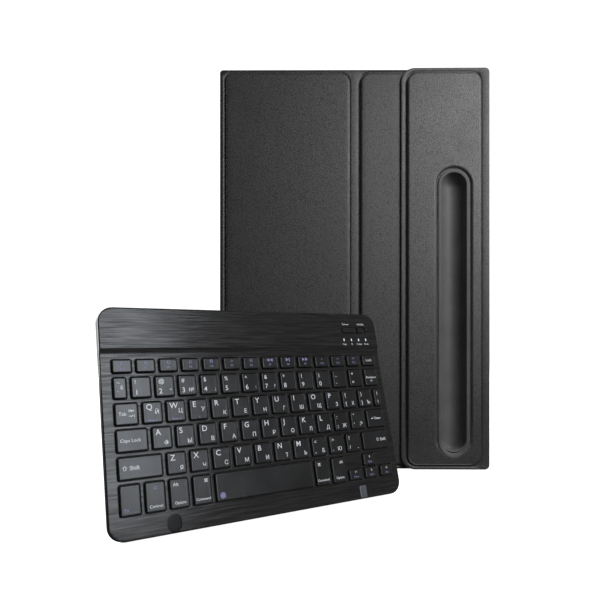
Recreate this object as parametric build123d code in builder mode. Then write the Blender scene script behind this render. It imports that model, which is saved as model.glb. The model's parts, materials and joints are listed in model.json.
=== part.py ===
from build123d import *

import os
from math import cos, radians, sin

# A tablet keyboard case: a folding leather cover with a pen trough in front, a tray for the
# tablet inside, and a detachable keyboard. Millimetres, +Z up. The case stands on a short
# edge, opened like an L: the front cover faces -Y, and the spine and the rear cover run
# straight back (+Y) from its right edge. The keyboard stands before the cover and leans
# back. The origin is on the floor, in the middle of the front cover's width and thickness.

# --- case, overall
case_height = 295.0
case_half_width = 99.4
edge_inset = 0.6  # boards and linings stop this far inside the skin's edge
corner_radius = 3.3

# --- front cover's layers, as Y positions from the face to the inside
pad_face = -2.7  # the raised panels
cover_face = -1.5  # the flat leather round them
board_face = -1.8
lining_face = 0.6
cover_back = 1.5
pad_margin = 2.8  # flat leather above and below a raised panel
pad_edge_round = 0.9

# --- front cover's panels, as X positions
fold_x = -1.95  # the fold line between the left panel and the rest
fold_gap = 0.15  # each side of a fold line
left_pad = (-94.2, -2.9)
right_pad = (4.8, 92.4)
cover_right = 96.0
pad_radius_outer = 4.8
pad_radius_fold = 7.4

# --- pen flap: a second leather layer over the right of the front cover
flap_left = 34.9
flap_face = -4.3
flap_pad_face = -5.5
flap_board = (-4.9, -3.3)
flap_wrap_x = 93.0  # from here the flap fills in behind itself, as far as the spine
flap_wrap_back = -1.75
flap_pad = (39.0, 92.4)
flap_radius = 8.4
flap_pad_radius = 6.2

# --- pen trough, sunk through the flap and the cover
trough_x = 73.1
trough_rim_face = -5.1
rim_half_width = 11.6
rim_ends = (8.4, 220.6)
groove_radius = 9.3
groove_depth = 8.0
groove_ends = (13.9, 218.0)
trough_wall = 1.0
trough_play = 0.2
moat_half_width = 12.6

# --- spine and rear cover, which lie in the plane X = side_inner to side_outer
side_inner = 96.5
side_outer = 99.4
side_pad_rise = 1.2
spine_y = (2.0, 16.0)
rear_start = 17.0
rear_fold_y = 117.0
rear_end = 212.3
side_skin = 0.8
side_lining = 0.7

# --- tablet tray, glued to the outer half of the rear cover only
tray_y, tray_z = 114.8, 147.5  # its centre
tray_face = 87.8
tray_back = 96.3
tray_size = (189.0, 289.0)
tray_floor = 1.3
tray_wall = 1.8
tray_lip = (1.0, 1.0)  # its thickness, and how far it reaches over the tablet
tray_radius = 11.0
camera_at = (191.0, 267.0)
camera_hole = (20.8, 32.8)
camera_radius = 6.0
bezel_wall = 1.0
bezel_flange = (27.0, 39.0, 0.7)
side_button_at = {"power": (267.0, 9.4), "volume": (240.0, 20.0)}  # Z of the middle, length
side_button_width = 3.0
side_button_play = 0.2
side_button_proud = 0.6

# --- keyboard: its own plane has X along it, Y up its slope and Z out of its face
kb_width = 174.8
kb_depth = 114.4
kb_thickness = 6.0
kb_radius = 7.6
kb_turn = 30.96
kb_lean = 14.99
kb_corner = (-126.8, -158.3)  # X and Y of the face's lower left corner
deck_thickness = 1.2
head_rise = 1.2
head_depth = 22.7
shell_wall = 1.4
shell_floor = 0.8
shell_round = 1.5

# --- keys
key_left = 5.6
key_unit = 12.13
key_gap = 2.3
key_play = 0.35
key_top = 1.4
key_bottom = -0.7
key_corner = 0.8
key_edge = 0.3
row_edges = {  # each row's lower and upper edge, measured down from the keyboard's top edge
    "function": (27.6, 34.3),
    "number": (36.7, 47.3),
    "top_letter": (49.7, 60.4),
    "home": (62.6, 73.4),
    "low_letter": (75.8, 86.5),
    "bottom": (88.8, 103.0),
    "up_arrow": (88.8, 95.6),
    "low_arrow": (96.7, 103.0),
}
keys_across = 13.715  # the whole field, in key units


def front(y):
    """The plane facing -Y at y, with X across and Z up."""
    return Plane(origin=(0, y, 0), x_dir=(1, 0, 0), z_dir=(0, -1, 0))


def side(x):
    """The plane facing +X at x, with Y across and Z up."""
    return Plane(origin=(x, 0, 0), x_dir=(0, 1, 0), z_dir=(1, 0, 0))


def rounded(low, high, bottom, top, low_radius, high_radius):
    """Draws a rectangle from low to high, with its own corner radius at each end."""
    with Locations(((low + high) / 2, (bottom + top) / 2)):
        Rectangle(high - low, top - bottom)
    if low_radius:
        fillet(vertices().group_by(Axis.X)[0], low_radius)
    if high_radius:
        fillet(vertices().group_by(Axis.X)[-1], high_radius)


def stadium(x, ends, half_width, mode=Mode.SUBTRACT):
    """Draws an upright round-ended slot."""
    with Locations((x, (ends[0] + ends[1]) / 2)):
        SlotOverall(ends[1] - ends[0], 2 * half_width, rotation=90, mode=mode)


def save(part, name):
    """Names a finished piece and writes it."""
    part.label = name
    export_step(part, f"parts/{name}.step")


def plate(plane, outline, thickness, holes=()):
    """A flat piece: the outline's rounded rectangle, less round-ended or rounded holes."""
    with BuildPart() as piece:
        with BuildSketch(plane):
            rounded(*outline)
            for hole in holes:
                hole()
        extrude(amount=thickness)
    return piece.part


os.makedirs("parts", exist_ok=True)

pad_bottom, pad_top = pad_margin, case_height - pad_margin

# the trough's shell is a round-bottomed capsule, so the holes for it follow its ends
trough_axis_y = trough_rim_face + groove_depth - groove_radius
shell_radius = groove_radius + trough_wall
shell_ends = (groove_ends[0] - trough_wall, groove_ends[1] + trough_wall)
hole_half_width = shell_radius + trough_play
hole_ends = (shell_ends[0] - trough_play, shell_ends[1] + trough_play)
moat_step = moat_half_width - rim_half_width
moat_ends = (rim_ends[0] - moat_step, rim_ends[1] + moat_step)


def trough_hole():
    stadium(trough_x, hole_ends, hole_half_width)


def trough_moat():
    stadium(trough_x, moat_ends, moat_half_width)


def board_moat():
    stadium(trough_x, (moat_ends[0] - 1, moat_ends[1] + 1), moat_half_width + 1)


# --- front cover: each half is a leather skin with a raised panel, a board in it and a lining
magnet_radius, magnet_thickness = 5.0, 1.4
magnet_face = -0.9
keyboard_magnet_at = [(x, z) for x in (-84.0, -14.0) for z in (62.0, 233.0)]
closure_magnet_at = [(20.0, 42.0), (20.0, 253.0)]


def cover_half(edges, edge_radii, pad, pad_radii, side_name, magnets, holes):
    """The skin, board, lining and magnets of one half of the front cover."""
    low, high = edges
    board_outline = (pad[0] + 1, pad[1] - 1, pad_bottom + 1, pad_top - 1, *pad_radii)
    with BuildPart() as board:
        with BuildSketch(front(lining_face)):
            rounded(*board_outline)
            for hole in holes:
                hole()
        extrude(amount=lining_face - board_face)
        with BuildSketch(front(magnet_face + magnet_thickness)):
            with Locations(magnets):
                Circle(magnet_radius)
        extrude(amount=magnet_thickness, mode=Mode.SUBTRACT)
    with BuildPart() as skin:
        with BuildSketch(front(lining_face)):
            rounded(low, high, 0, case_height, *edge_radii)
        extrude(amount=lining_face - cover_face)
        with BuildSketch(front(cover_face)):
            rounded(pad[0], pad[1], pad_bottom, pad_top, *pad_radii)
        extrude(amount=cover_face - pad_face)
        fillet(faces().sort_by(Axis.Y)[0].edges(), pad_edge_round)
        with BuildSketch(front(lining_face)):
            rounded(*board_outline)
        extrude(amount=lining_face - board_face, mode=Mode.SUBTRACT)
        if holes:
            with BuildSketch(front(lining_face)):
                stadium(trough_x, hole_ends, hole_half_width, Mode.ADD)
            extrude(amount=lining_face - pad_face, mode=Mode.SUBTRACT)
    with BuildPart() as magnet:
        with BuildSketch(front(magnet_face + magnet_thickness)):
            with Locations(magnets):
                Circle(magnet_radius)
        extrude(amount=magnet_thickness)
    inset = edge_inset
    lining_outline = (low + inset, high - inset, inset, case_height - inset, *edge_radii)
    lining = plate(front(cover_back), lining_outline, cover_back - lining_face, holes)
    save(skin.part, f"cover_skin_{side_name}")
    save(board.part, f"cover_board_{side_name}")
    save(lining, f"cover_lining_{side_name}")
    return magnet.part


keyboard_magnets = cover_half(
    (-case_half_width, fold_x - fold_gap),
    (corner_radius, 0),
    left_pad,
    (pad_radius_outer, pad_radius_fold),
    "left",
    keyboard_magnet_at,
    (),
)
closure_magnets = cover_half(
    (fold_x + fold_gap, cover_right),
    (0, corner_radius),
    right_pad,
    (pad_radius_fold, pad_radius_outer),
    "right",
    closure_magnet_at,
    (trough_hole,),
)
save(keyboard_magnets, "keyboard_magnets")
save(closure_magnets, "closure_magnets")

# --- pen flap: its skin, with a raised panel round the trough, and the board in that panel
flap_pad_outline = (*flap_pad, pad_margin, case_height - pad_margin - 0.6)
flap_board_outline = (
    flap_pad[0] + 1,
    flap_pad[1] - 1,
    flap_pad_outline[2] + 1,
    flap_pad_outline[3] - 1,
    flap_pad_radius,
    flap_pad_radius,
)
with BuildPart() as pen_flap_skin:
    with BuildSketch(front(pad_face)):
        rounded(flap_left, case_half_width, 0, case_height, flap_radius, corner_radius)
        trough_hole()
    extrude(amount=pad_face - flap_face)
    with BuildSketch(front(flap_face)):
        rounded(*flap_pad_outline, flap_pad_radius, flap_pad_radius)
        trough_moat()
    extrude(amount=flap_face - flap_pad_face)
    fillet(faces().sort_by(Axis.Y)[0].edges(), pad_edge_round)
    with BuildSketch(front(flap_wrap_back)):
        rounded(flap_wrap_x, case_half_width, 0, case_height, 0, corner_radius)
    extrude(amount=flap_wrap_back - pad_face)
    with BuildSketch(front(flap_board[1])):
        rounded(*flap_board_outline)
        board_moat()
    extrude(amount=flap_board[1] - flap_board[0], mode=Mode.SUBTRACT)
save(pen_flap_skin.part, "pen_flap_skin")
pen_flap_board = plate(
    front(flap_board[1]), flap_board_outline, flap_board[1] - flap_board[0], (board_moat,)
)
save(pen_flap_board, "pen_flap_board")


def capsule(radius, ends):
    """A round-ended bar standing on the trough's axis."""
    low, high = ends
    bulge = radius * cos(radians(45))
    with BuildPart() as bar:
        with BuildSketch(front(trough_axis_y)):
            with BuildLine():
                Line((trough_x, low), (trough_x, high))
                ThreePointArc(
                    (trough_x, high),
                    (trough_x + bulge, high - radius + bulge),
                    (trough_x + radius, high - radius),
                )
                Line((trough_x + radius, high - radius), (trough_x + radius, low + radius))
                ThreePointArc(
                    (trough_x + radius, low + radius),
                    (trough_x + bulge, low + radius - bulge),
                    (trough_x, low),
                )
            make_face()
        revolve(axis=Axis((trough_x, trough_axis_y, 0), (0, 0, 1)))
    return bar.part


shell_bar = capsule(shell_radius, shell_ends)
groove_bar = capsule(groove_radius, groove_ends)
with BuildPart() as pen_trough:
    add(shell_bar)
    split(bisect_by=front(flap_face), keep=Keep.BOTTOM)
    with BuildSketch(front(flap_face)):
        stadium(trough_x, rim_ends, rim_half_width, Mode.ADD)
    extrude(amount=flap_face - trough_rim_face)
    add(groove_bar, mode=Mode.SUBTRACT)
save(pen_trough.part, "pen_trough")


# --- spine and rear cover: flat leather-covered boards, standing in line behind the front
def side_panel(name, y_range, radii, inner, cut=()):
    """A rear panel's skin and board. The skin is folded round the board, with a raised face."""
    low, high = y_range
    pad = (low + 3.2, high - 3.2, pad_bottom, pad_top)
    board = (low + 1, high - 1, 1, case_height - 1, 0, 0)
    with BuildPart() as skin:
        with BuildSketch(side(inner)):
            rounded(low, high, 0, case_height, *radii)
            for hole in cut:
                hole(1)
        extrude(amount=side_outer - inner)
        with BuildSketch(side(side_outer)):
            rounded(*pad, pad_radius_outer, pad_radius_outer)
            for hole in cut:
                hole(1)
        extrude(amount=side_pad_rise)
        fillet(faces().sort_by(Axis.X)[-1].edges(), pad_edge_round)
        with BuildSketch(side(inner + side_lining)):
            rounded(*board)
            for hole in cut:
                hole(3)
        extrude(amount=side_outer - side_skin - inner - side_lining, mode=Mode.SUBTRACT)
    with BuildPart() as stiffener:
        with BuildSketch(side(inner + side_lining)):
            rounded(*board)
            for hole in cut:
                hole(3)
        extrude(amount=side_outer - side_skin - inner - side_lining)
    save(skin.part, f"{name}_skin")
    save(stiffener.part, f"{name}_board")


def camera_cut(extra):
    """The camera hole through a layer, wider than the bezel's inside by extra on each side."""
    with Locations(camera_at):
        RectangleRounded(
            camera_hole[0] + 2 * extra,
            camera_hole[1] + 2 * extra,
            camera_radius + extra,
            mode=Mode.SUBTRACT,
        )


with BuildPart() as spine_skin:
    with BuildSketch(side(side_inner)):
        rounded(*spine_y, 0, case_height, 0, 0)
    extrude(amount=side_outer - side_inner)
    fillet(edges().filter_by(Axis.Y), 0.5)
    with BuildSketch(side(side_inner + side_lining)):
        rounded(spine_y[0] + 1, spine_y[1] - 1, 2, case_height - 2, 0, 0)
    extrude(amount=side_outer - side_skin - side_inner - side_lining, mode=Mode.SUBTRACT)
save(spine_skin.part, "spine_skin")
spine_board = plate(
    side(side_inner + side_lining),
    (spine_y[0] + 1, spine_y[1] - 1, 2, case_height - 2, 0, 0),
    side_outer - side_skin - side_inner - side_lining,
)
save(spine_board, "spine_board")
side_panel("rear_lower", (rear_start, rear_fold_y - fold_gap), (0, 0), side_inner)
side_panel(
    "rear_upper",
    (rear_fold_y + fold_gap, rear_end),
    (0, corner_radius),
    tray_back,
    (camera_cut,),
)

with BuildPart() as camera_bezel:
    with BuildSketch(side(tray_back)):
        with Locations(camera_at):
            RectangleRounded(
                camera_hole[0] + 2 * bezel_wall,
                camera_hole[1] + 2 * bezel_wall,
                camera_radius + bezel_wall,
            )
    extrude(amount=side_outer + side_pad_rise - tray_back)
    with BuildSketch(side(side_outer + side_pad_rise)):
        with Locations(camera_at):
            RectangleRounded(bezel_flange[0], bezel_flange[1], camera_radius + 3)
    extrude(amount=bezel_flange[2])
    fillet(faces().sort_by(Axis.X)[-1].edges(), 0.4)
    with BuildSketch(side(tray_back)):
        with Locations(camera_at):
            RectangleRounded(*camera_hole, camera_radius)
    extrude(amount=10, mode=Mode.SUBTRACT)
save(camera_bezel.part, "camera_bezel")

# --- tablet tray: a soft shell with a lip over the tablet's edge and cut-outs for its ports
bay_size = (tray_size[0] - 2 * tray_wall, tray_size[1] - 2 * tray_wall)
mouth_size = (bay_size[0] - 2 * tray_lip[1], bay_size[1] - 2 * tray_lip[1])
bay_face = tray_face + tray_lip[0]
bay_depth = tray_back - tray_floor - bay_face
wall_top_z = tray_z + tray_size[1] / 2
wall_far_y = tray_y + tray_size[0] / 2
port_x = (bay_face + tray_back - tray_floor) / 2
with BuildPart() as tablet_tray:
    with BuildSketch(side(tray_face)):
        with Locations((tray_y, tray_z)):
            RectangleRounded(*tray_size, tray_radius)
    extrude(amount=tray_back - tray_face)
    fillet(faces().sort_by(Axis.X)[0].edges(), 0.6)
    with BuildSketch(side(bay_face)):
        with Locations((tray_y, tray_z)):
            RectangleRounded(*bay_size, tray_radius - tray_wall)
    extrude(amount=bay_depth, mode=Mode.SUBTRACT)
    with BuildSketch(side(tray_face)):
        with Locations((tray_y, tray_z)):
            RectangleRounded(*mouth_size, tray_radius - tray_wall - tray_lip[1])
    extrude(amount=tray_lip[0], mode=Mode.SUBTRACT)
    with BuildSketch(side(tray_back)):
        with Locations(camera_at):
            RectangleRounded(*camera_hole, camera_radius)
    extrude(amount=-tray_floor, mode=Mode.SUBTRACT)
    # the charging port and the speakers, through the short walls
    with BuildSketch(Plane.XY.offset(wall_top_z - 2 * tray_wall)):
        with Locations((port_x, tray_y)):
            SlotOverall(15, 5, rotation=90)
        with Locations([(port_x, tray_y + s * 58) for s in (-1, 1)]):
            SlotOverall(26, 2.4, rotation=90)
    extrude(amount=3 * tray_wall, mode=Mode.SUBTRACT)
    with BuildSketch(Plane.XY.offset(tray_z - tray_size[1] / 2 - tray_wall)):
        with Locations([(port_x, tray_y + s * 58) for s in (-1, 1)]):
            SlotOverall(26, 2.4, rotation=90)
    extrude(amount=3 * tray_wall, mode=Mode.SUBTRACT)
    # the side buttons, through the long wall
    with BuildSketch(front(wall_far_y + tray_wall)):
        for at, length in side_button_at.values():
            with Locations((port_x, at)):
                SlotOverall(
                    length + 2 * side_button_play,
                    side_button_width + 2 * side_button_play,
                    rotation=90,
                )
    extrude(amount=3 * tray_wall, mode=Mode.SUBTRACT)
save(tablet_tray.part, "tablet_tray")

for button, (at, length) in side_button_at.items():
    with BuildPart() as side_button:
        with BuildSketch(front(wall_far_y + side_button_proud)):
            with Locations((port_x, at)):
                SlotOverall(length, side_button_width, rotation=90)
        extrude(amount=tray_wall + side_button_proud)
        fillet(faces().sort_by(Axis.Y)[-1].edges(), 0.4)
    save(side_button.part, f"tray_{button}_button")

# --- keyboard
turn, lean = radians(kb_turn), radians(kb_lean)
# the rounded lower back edge of the shell rests on the floor
kb_lift = shell_round * (1 - cos(lean)) + (kb_thickness - shell_round) * sin(lean)
kb = Plane(
    origin=(*kb_corner, kb_lift),
    x_dir=(cos(turn), sin(turn), 0),
    z_dir=(cos(lean) * sin(turn), -cos(lean) * cos(turn), sin(lean)),
)
kb_up = Axis(kb.origin, kb.z_dir)
kb_middle = (kb_width / 2, kb_depth / 2)


def key_rows():
    """Every key's name, with its left edge, right edge, lower edge and upper edge."""
    function = [("escape", 1)] + [("function_row", 1)] * 12 + [("lock", 1)]
    number = [("grave", 0.715)] + [("number_row", 1)] * 12 + [("backspace", 1)]
    top_letter = [("tab", 1.113)] + [("top_letter_row", 1)] * 12 + [("backslash", 0.602)]
    home = [("caps_lock", 1.433)] + [("home_row", 1)] * 11 + [("enter", 1.282)]
    low_letter = [("left_shift", 1.957)] + [("low_letter_row", 1)] * 10
    low_letter += [("right_shift", 1.758)]
    modifiers = ("fn", "control", "left_option", "left_command")
    bottom = [(name, 0.99) for name in modifiers] + [("space", 5.0)]
    bottom += [("right_command", 0.951), ("right_option", 0.951)]
    arrow = keys_across - sum(width for _, width in bottom)
    bottom += [("left_arrow", arrow / 3), ("down_arrow", arrow / 3), ("right_arrow", arrow / 3)]
    rows = {
        "function": [(name, keys_across / 14) for name, _ in function],
        "number": number,
        "top_letter": top_letter,
        "home": home,
        "low_letter": low_letter,
        "bottom": bottom,
    }
    keys = []
    for row, entries in rows.items():
        left = key_left
        for name, width in entries:
            right = left + width * key_unit
            edges = row_edges["low_arrow" if name.endswith("arrow") else row]
            keys.append((name, left, right - key_gap, *(kb_depth - e for e in edges)))
            if name == "down_arrow":
                upper = (kb_depth - e for e in row_edges["up_arrow"])
                keys.append(("up_arrow", left, right - key_gap, *upper))
            left = right
    return keys


def key_outlines(keys, extra, radius):
    """Draws each key's rounded outline, wider by extra all round."""
    for _, left, right, high, low in keys:
        with Locations(((left + right) / 2, (low + high) / 2)):
            RectangleRounded(right - left + 2 * extra, high - low + 2 * extra, radius)


all_keys = key_rows()

# the switch slot in the head bar, with the connect button and the power switch in it
slot_centre = (157.2, kb_depth - 11.1)
slot_length, slot_width = 19.6, 3.9
slot_floor = -0.4
button_length = 11.6
button_play = 0.25
switch_travel = 2.0
led_at = [(148.4 + 5.7 * i, kb_depth - 17.4) for i in range(4)]
led_size = (1.1, 1.9)
pad_at = [30.5, 146.0]  # X of the two finger pads on the front margin
pad_size = (5.6, 8.2)
pad_recess = 0.6
port_at = 132.0
port_size = (9.0, 3.2)
port_z = -3.2
screw_at = [(x, y) for x in (12, kb_width / 2, kb_width - 12) for y in (9, kb_depth - 9)]


def port_plane(y):
    """The plane across the charging port at y, facing the keyboard's far edge."""
    return Plane(
        kb.from_local_coords((port_at, y, port_z)), x_dir=kb.x_dir, z_dir=kb.y_dir
    )


def pad_outline(extra):
    """The two finger pads: a straight strip from the front edge with a round end."""
    for x in pad_at:
        half = pad_size[0] / 2 + extra
        top = pad_size[1] + extra
        with Locations((x, (top - half) / 2)):
            Rectangle(2 * half, top - half)
        with Locations((x, top - half)):
            Circle(half)


with BuildPart() as keyboard_top_case:
    with BuildSketch(kb.offset(-deck_thickness)):
        with Locations(kb_middle):
            RectangleRounded(kb_width, kb_depth, kb_radius)
    extrude(amount=deck_thickness)
    with BuildSketch(kb):
        with Locations(kb_middle):
            RectangleRounded(kb_width, kb_depth, kb_radius)
        with Locations((kb_width / 2, (kb_depth - head_depth) / 2)):
            Rectangle(kb_width, kb_depth - head_depth, mode=Mode.SUBTRACT)
    extrude(amount=head_rise)
    chamfer(faces().sort_by(kb_up)[-1].edges(), 0.5)
    with BuildSketch(kb.offset(-deck_thickness)):
        key_outlines(all_keys, key_play, key_corner)
    extrude(amount=deck_thickness, mode=Mode.SUBTRACT)
    with BuildSketch(kb.offset(slot_floor)):
        with Locations(slot_centre):
            SlotOverall(slot_length, slot_width)
    extrude(amount=head_rise - slot_floor, mode=Mode.SUBTRACT)
    with BuildSketch(kb.offset(head_rise)):
        with Locations(led_at):
            Rectangle(*led_size)
    extrude(amount=-0.5, mode=Mode.SUBTRACT)
    with BuildSketch(kb.offset(-pad_recess)):
        pad_outline(0)
    extrude(amount=pad_recess, mode=Mode.SUBTRACT)
save(keyboard_top_case.part, "keyboard_top_case")

with BuildPart() as finger_pads:
    with BuildSketch(kb.offset(-pad_recess)):
        pad_outline(-0.1)
    extrude(amount=pad_recess - 0.15)
save(finger_pads.part, "finger_pads")

with BuildPart() as indicator_windows:
    with BuildSketch(kb.offset(head_rise)):
        with Locations(led_at):
            Rectangle(*led_size)
    extrude(amount=-0.5)
save(indicator_windows.part, "indicator_windows")

# a moulded shell, open at the top, with a rounded underside and bosses for the screws
boss_radius = 2.4
boss_height = 0.8
screw_radius = 1.5
screw_recess = 0.1
with BuildPart() as keyboard_bottom_case:
    with BuildSketch(kb.offset(-kb_thickness)):
        with Locations(kb_middle):
            RectangleRounded(kb_width, kb_depth, kb_radius)
    extrude(amount=kb_thickness - deck_thickness)
    fillet(faces().sort_by(kb_up)[0].edges(), shell_round)
    with BuildSketch(kb.offset(shell_floor - kb_thickness)):
        with Locations(kb_middle):
            inner = (kb_width - 2 * shell_wall, kb_depth - 2 * shell_wall)
            RectangleRounded(*inner, kb_radius - shell_wall)
    extrude(amount=kb_thickness - shell_floor - deck_thickness, mode=Mode.SUBTRACT)
    with BuildSketch(kb.offset(shell_floor - kb_thickness)):
        with Locations(screw_at):
            Circle(boss_radius)
    extrude(amount=boss_height)
    with BuildSketch(kb.offset(-kb_thickness)):
        with Locations(screw_at):
            Circle(screw_radius + 0.1)
    extrude(amount=shell_floor, mode=Mode.SUBTRACT)
    with BuildSketch(port_plane(kb_depth - 3)):
        SlotOverall(*port_size)
    extrude(amount=4, mode=Mode.SUBTRACT)
save(keyboard_bottom_case.part, "keyboard_bottom_case")

with BuildPart() as case_screws:
    with BuildSketch(kb.offset(screw_recess - kb_thickness)):
        with Locations(screw_at):
            Circle(screw_radius)
    extrude(amount=0.6)
    with BuildSketch(kb.offset(screw_recess - kb_thickness)):
        with Locations(screw_at):
            RegularPolygon(0.7, 6)
    extrude(amount=0.35, mode=Mode.SUBTRACT)
save(case_screws.part, "case_screws")

socket_size = (port_size[0] - 0.2, port_size[1] - 0.2)
socket_wall = 0.4
socket_back = kb_depth - 7
socket_floor = 0.5
tongue_size = (6.2, 0.7)
with BuildPart() as charging_port:
    with BuildSketch(port_plane(socket_back)):
        SlotOverall(*socket_size)
        inner_size = (socket_size[0] - 2 * socket_wall, socket_size[1] - 2 * socket_wall)
        SlotOverall(*inner_size, mode=Mode.SUBTRACT)
    extrude(amount=6.8)
    with BuildSketch(port_plane(socket_back)):
        SlotOverall(*socket_size)
    extrude(amount=socket_floor)
    with BuildSketch(port_plane(socket_back + socket_floor)):
        Rectangle(*tongue_size)
    extrude(amount=4.6)
save(charging_port.part, "charging_port")

foot_at = [(x, y) for x in (16, kb_width - 16) for y in (14, kb_depth - 14)]
with BuildPart() as rubber_feet:
    with BuildSketch(kb.offset(-kb_thickness)):
        with Locations(foot_at):
            Circle(4.5)
    extrude(amount=-0.8)
    fillet(faces().group_by(kb_up)[0].edges(), 0.3)
save(rubber_feet.part, "rubber_feet")

# under the keys: the switch membrane on its steel plate
key_field = (kb_width - 8, kb_depth - head_depth - 8)
field_centre = (kb_width / 2, (kb_depth - head_depth) / 2)
membrane_top = -2.1
membrane_thickness = 0.4
plate_thickness = 0.6
for name, top, thickness in (
    ("key_membrane", membrane_top, membrane_thickness),
    ("key_base_plate", membrane_top - membrane_thickness, plate_thickness),
):
    with BuildPart() as layer:
        with BuildSketch(kb.offset(top)):
            with Locations(field_centre):
                RectangleRounded(*key_field, 3)
        extrude(amount=-thickness)
    save(layer.part, name)

# under the head bar: the battery and the circuit board
inside_floor = shell_floor - kb_thickness
with BuildPart() as battery:
    with BuildSketch(kb.offset(inside_floor)):
        with Locations((50, kb_depth - 13)):
            RectangleRounded(64, 15, 1.5)
    extrude(amount=3.4)
    fillet(faces().sort_by(kb_up)[-1].edges(), 0.5)
save(battery.part, "battery")

with BuildPart() as circuit_board:
    with BuildSketch(kb.offset(inside_floor)):
        with Locations((145, kb_depth - 17.2)):
            Rectangle(38, 9)
    extrude(amount=0.8)
    with BuildSketch(kb.offset(inside_floor + 0.8)):
        with Locations((136, kb_depth - 17.2)):
            Rectangle(5, 5)
        with Locations([(147 + 4 * i, kb_depth - 17.2) for i in range(4)]):
            Rectangle(2, 1.2)
    extrude(amount=0.8)
save(circuit_board.part, "circuit_board")

# the connect button and the power switch share the slot, and each stands just above it
slot_left = slot_centre[0] - slot_length / 2
slot_right = slot_centre[0] + slot_length / 2
half_slot = slot_width / 2
cap_radius = half_slot - button_play
button_span = (slot_left + button_play, slot_left + button_length)
switch_span = (slot_left + button_length + 0.8, slot_right - button_play - switch_travel)


def slot_cap(span, round_left):
    """A cap lying in the switch slot, round at its outer end."""
    low, high = span
    with BuildPart() as cap:
        with BuildSketch(kb.offset(slot_floor + 0.35)):
            with Locations(((low + high) / 2, slot_centre[1])):
                Rectangle(high - low, 2 * cap_radius)
            corners = vertices().group_by(Axis.X)[0 if round_left else -1]
            fillet(corners, cap_radius * 0.96)
        extrude(amount=head_rise - slot_floor - 0.35 + 0.3)
        chamfer(faces().sort_by(kb_up)[-1].edges(), 0.2)
    return cap.part


save(slot_cap(button_span, True), "connect_button")
save(slot_cap(switch_span, False), "power_switch")

# --- keys: wide and special keys are pieces of their own, and the like keys of a row share one
for name in dict.fromkeys(key[0] for key in all_keys):
    with BuildPart() as key:
        with BuildSketch(kb.offset(key_bottom)):
            key_outlines([k for k in all_keys if k[0] == name], 0, key_corner)
        extrude(amount=key_top - key_bottom)
        chamfer(faces().filter_by(lambda f: f.normal_at().dot(kb.z_dir) > 0.99).edges(), key_edge)
    save(key.part, f"key_{name}")
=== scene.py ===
import json
from math import atan2, cos, pi, radians, sin, sqrt

import bmesh
import bpy
from mathutils import Matrix, Vector

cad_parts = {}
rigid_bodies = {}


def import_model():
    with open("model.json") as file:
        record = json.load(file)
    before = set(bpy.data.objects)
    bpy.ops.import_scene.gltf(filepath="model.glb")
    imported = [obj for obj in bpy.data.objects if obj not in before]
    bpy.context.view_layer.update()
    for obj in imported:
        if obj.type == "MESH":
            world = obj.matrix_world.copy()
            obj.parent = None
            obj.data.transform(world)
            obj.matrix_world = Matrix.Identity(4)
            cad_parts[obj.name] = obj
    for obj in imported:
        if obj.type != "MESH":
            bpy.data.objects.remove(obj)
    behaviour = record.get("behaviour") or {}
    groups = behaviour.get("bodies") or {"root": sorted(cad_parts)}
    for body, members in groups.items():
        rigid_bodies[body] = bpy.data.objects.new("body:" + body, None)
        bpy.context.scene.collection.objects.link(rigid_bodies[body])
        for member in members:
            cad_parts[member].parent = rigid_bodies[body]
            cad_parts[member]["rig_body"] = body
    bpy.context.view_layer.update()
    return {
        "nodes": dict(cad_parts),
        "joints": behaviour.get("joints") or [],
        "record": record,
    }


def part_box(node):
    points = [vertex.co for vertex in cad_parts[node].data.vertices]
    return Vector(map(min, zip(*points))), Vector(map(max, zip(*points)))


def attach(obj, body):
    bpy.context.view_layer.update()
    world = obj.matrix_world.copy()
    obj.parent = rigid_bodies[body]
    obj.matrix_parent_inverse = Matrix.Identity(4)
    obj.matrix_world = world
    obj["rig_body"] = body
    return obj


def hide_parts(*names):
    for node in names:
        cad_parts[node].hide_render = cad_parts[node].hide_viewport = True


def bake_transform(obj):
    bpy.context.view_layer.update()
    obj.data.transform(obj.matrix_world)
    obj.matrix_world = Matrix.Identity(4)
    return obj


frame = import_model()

# Lengths here are in millimetres, and MM turns them into the frame's metres. The case stands on
# a short edge: its front cover faces -Y, and its spine and rear cover face +X behind it.
MM = 0.001


def mm_box(node):
    """A node's lowest and highest corner."""
    low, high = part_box(node)
    return [v / MM for v in low], [v / MM for v in high]


# --- where the frame's nodes are
(left_edge, _, _), (_, _, case_top) = mm_box("cover_skin_left")
cover_right = mm_box("cover_skin_right")[1][0]
flap_left, flap_right = (corner[0] for corner in mm_box("pen_flap_skin"))
spine_start, spine_end = (corner[1] for corner in mm_box("spine_skin"))
side_inner, side_outer = (corner[0] for corner in mm_box("spine_skin"))
rear_start = mm_box("rear_lower_skin")[0][1]
rear_end = mm_box("rear_upper_skin")[1][1]
bezel_low, bezel_high = mm_box("camera_bezel")
trough_centre = sum(corner[0] for corner in mm_box("pen_trough")) / 2
joints = {joint["name"]: joint for joint in frame["joints"]}
fold_x = 1000 * joints["left_panel_fold"]["pos_m"][0]
rear_fold_y = 1000 * joints["stand_fold"]["pos_m"][1]

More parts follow.
